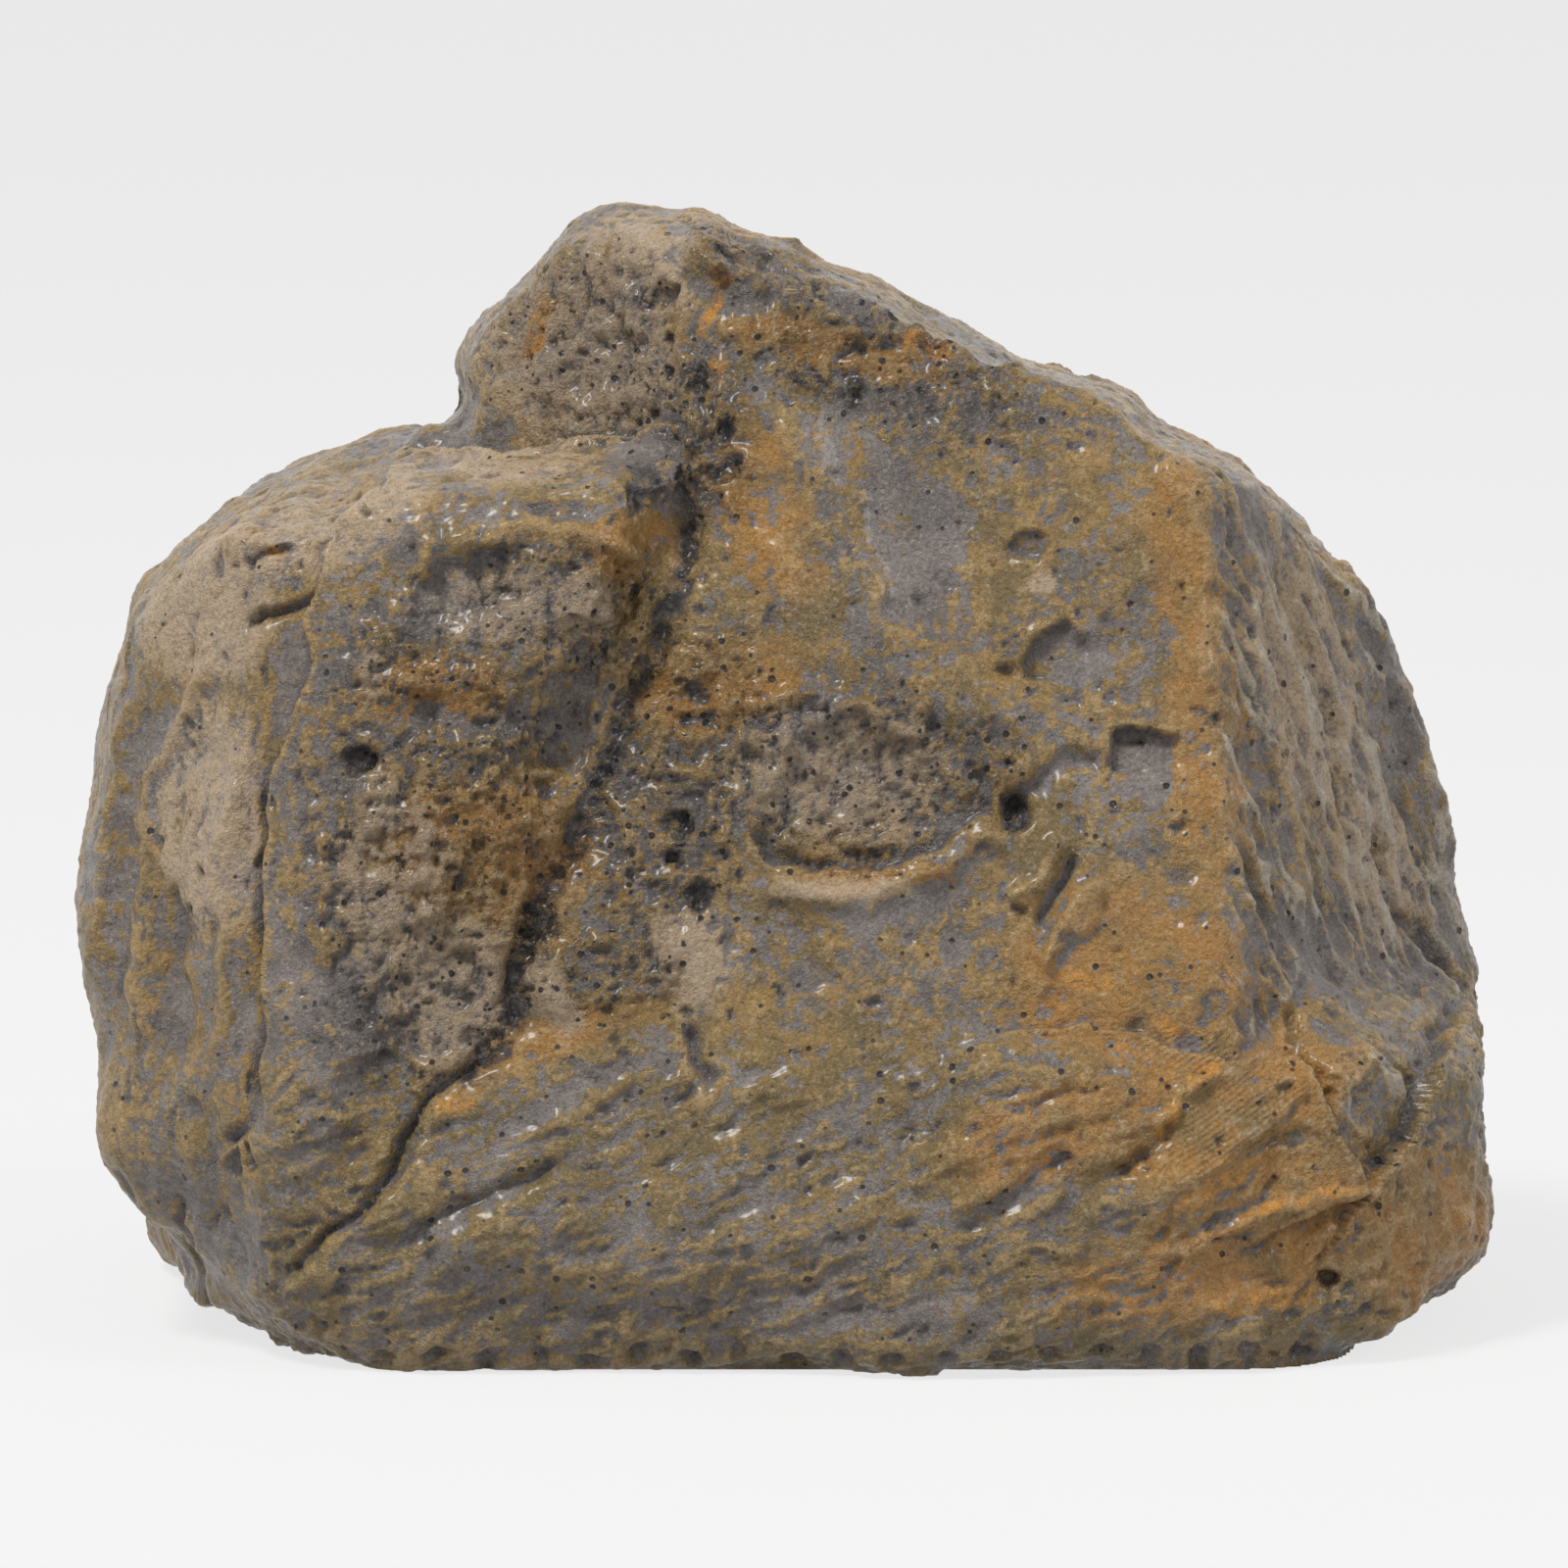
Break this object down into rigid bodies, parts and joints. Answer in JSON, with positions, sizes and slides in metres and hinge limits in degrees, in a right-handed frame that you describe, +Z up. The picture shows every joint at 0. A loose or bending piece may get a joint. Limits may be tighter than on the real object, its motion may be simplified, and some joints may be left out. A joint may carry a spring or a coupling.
{
  "type": "hide a key rock",
  "caption": "Cast resin garden stone with a gasketed key well let into its base, closed by a pin-hinged snap door that swings down.",
  "frame": {"origin": "centre of the bounding box's bottom, on the face the stone stands on", "axes": "+X along the stone's length, to the right in the picture; +Y from its front to its back; +Z up"},
  "size_m": [0.1064, 0.0696, 0.0832],
  "materials": {
    "cast_resin": "matte",
    "tray_plastic": "satin",
    "door_plastic": "satin",
    "foam": "matte",
    "rubber": "matte",
    "screw_steel": "satin",
    "pin_steel": "satin",
    "insert_brass": "satin"
  },
  "bodies": {
    "rock": {"rock_shell": "cast_resin", "base_tray": "tray_plastic", "tray_gasket": "foam", "tray_screws": "screw_steel", "screw_inserts": "insert_brass", "hinge_pin": "pin_steel", "door_gasket": "rubber", "key_pad": "foam"},
    "door": {"door": "door_plastic"}
  },
  "joints": [
    {"name": "door_hinge", "type": "hinge", "parent": "rock", "child": "door", "pos_m": [0.00305, 0.01565, 0.0025], "axis": [1, 0, 0], "range_deg": [0, 120]}
  ]
}
